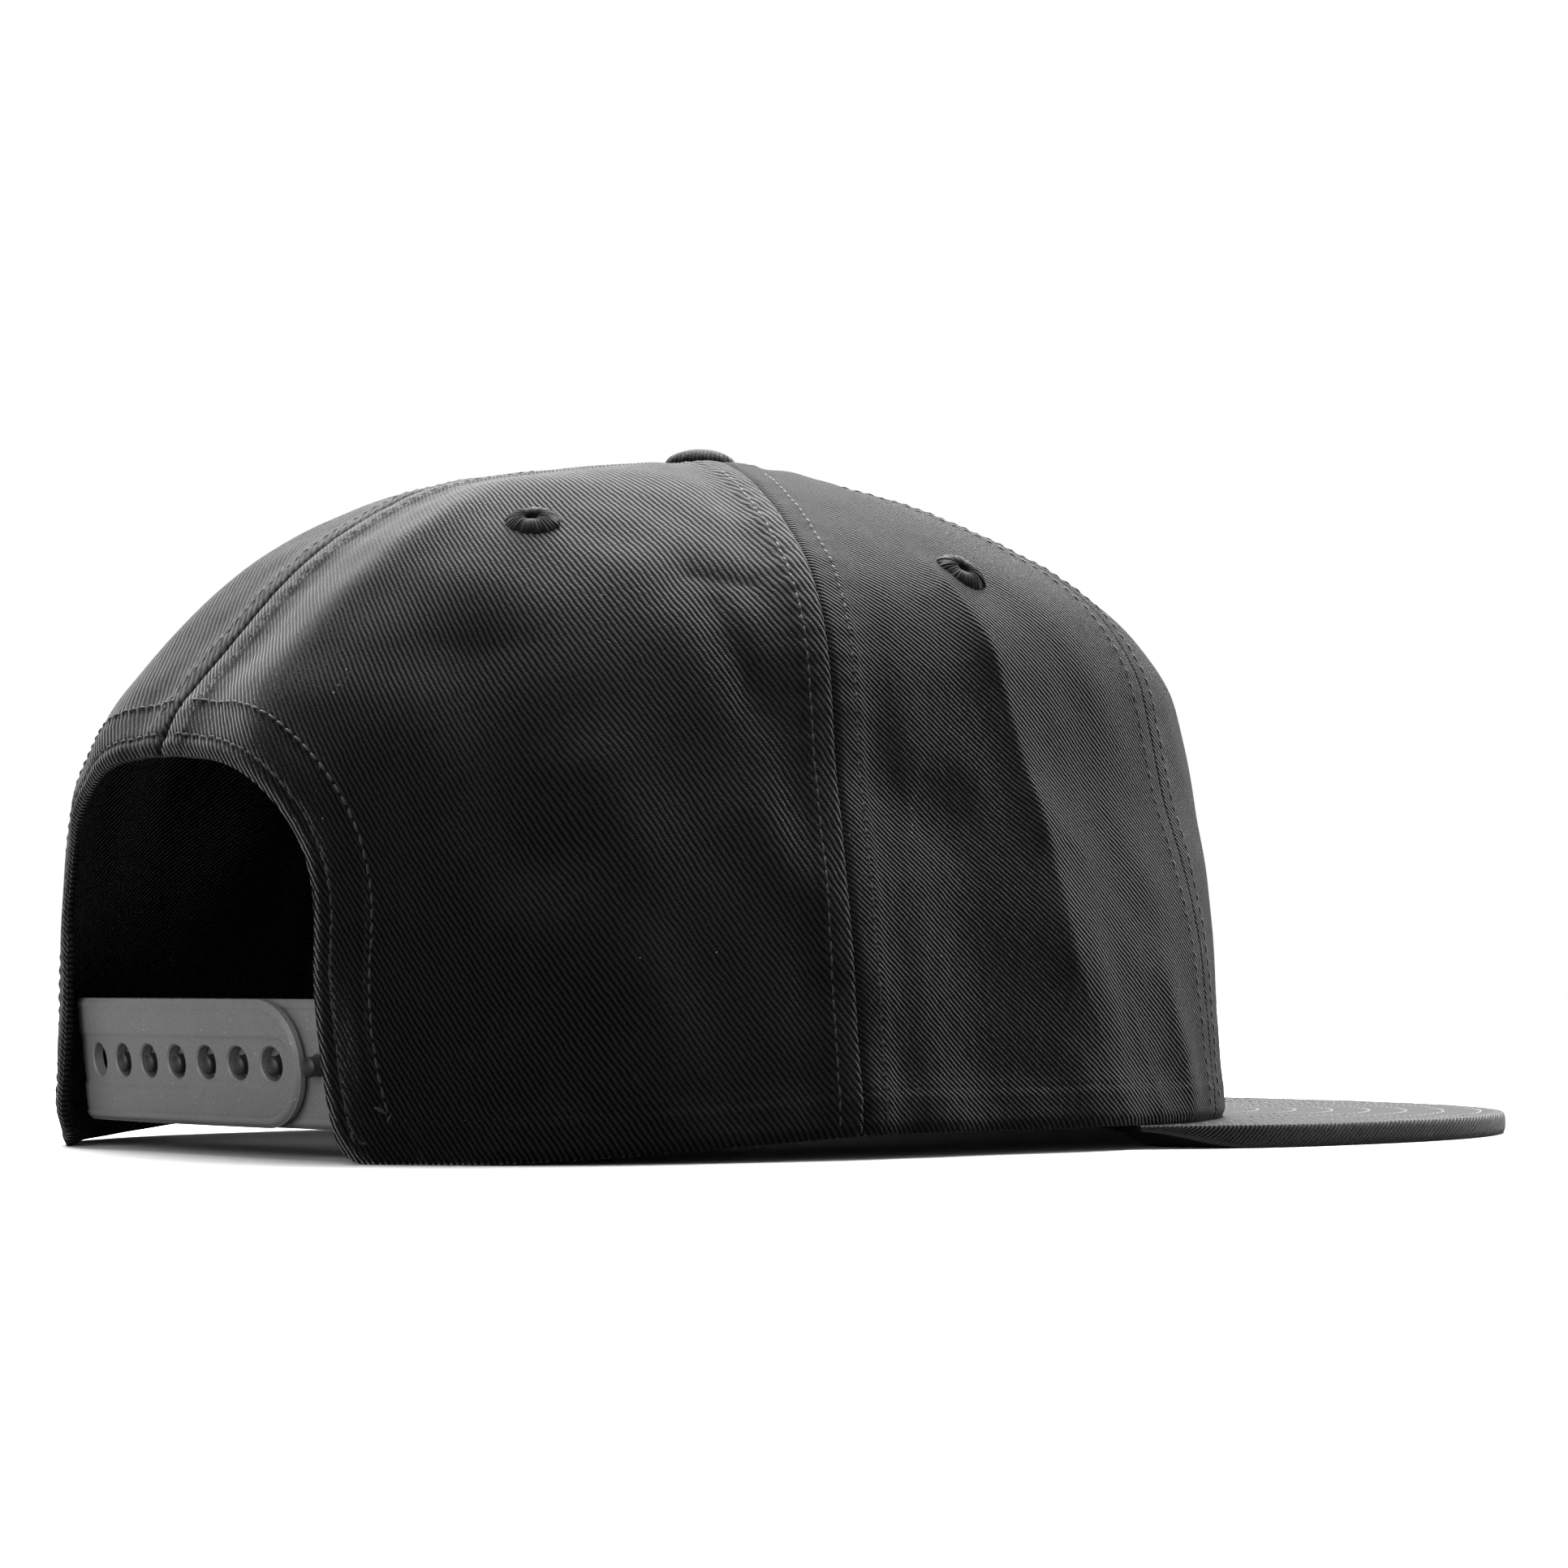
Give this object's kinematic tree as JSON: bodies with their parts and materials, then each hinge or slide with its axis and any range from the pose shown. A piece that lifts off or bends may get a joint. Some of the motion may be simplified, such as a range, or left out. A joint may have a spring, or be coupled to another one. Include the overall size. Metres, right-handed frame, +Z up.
{
  "type": "snapback cap",
  "caption": "Flat-brimmed cloth cap with a panelled crown, top button, sewn eyelets and an arched back opening over a snap strap.",
  "frame": {"origin": "foot of the overall box, in its middle, on the surface that the cap rests on", "axes": "+Z up; the bill points to -Y; the wearer's right is -X"},
  "size_m": [0.176, 0.2562, 0.1152],
  "materials": {
    "twill": "black cotton twill",
    "bill_twill": "black cotton twill over a stiff board",
    "thread": "black embroidery thread",
    "strap": "satin dark grey moulded plastic"
  },
  "bodies": {
    "root": {"front_panel": "twill", "side_panel_right": "twill", "side_panel_left": "twill", "back_panel_right": "twill", "back_panel_left": "twill", "top_button": "twill", "bill": "bill_twill", "eyelet_side_right": "thread", "eyelet_side_left": "thread", "eyelet_back_right": "thread", "eyelet_back_left": "thread", "strap_holes": "strap", "strap_posts": "strap"}
  },
  "joints": []
}
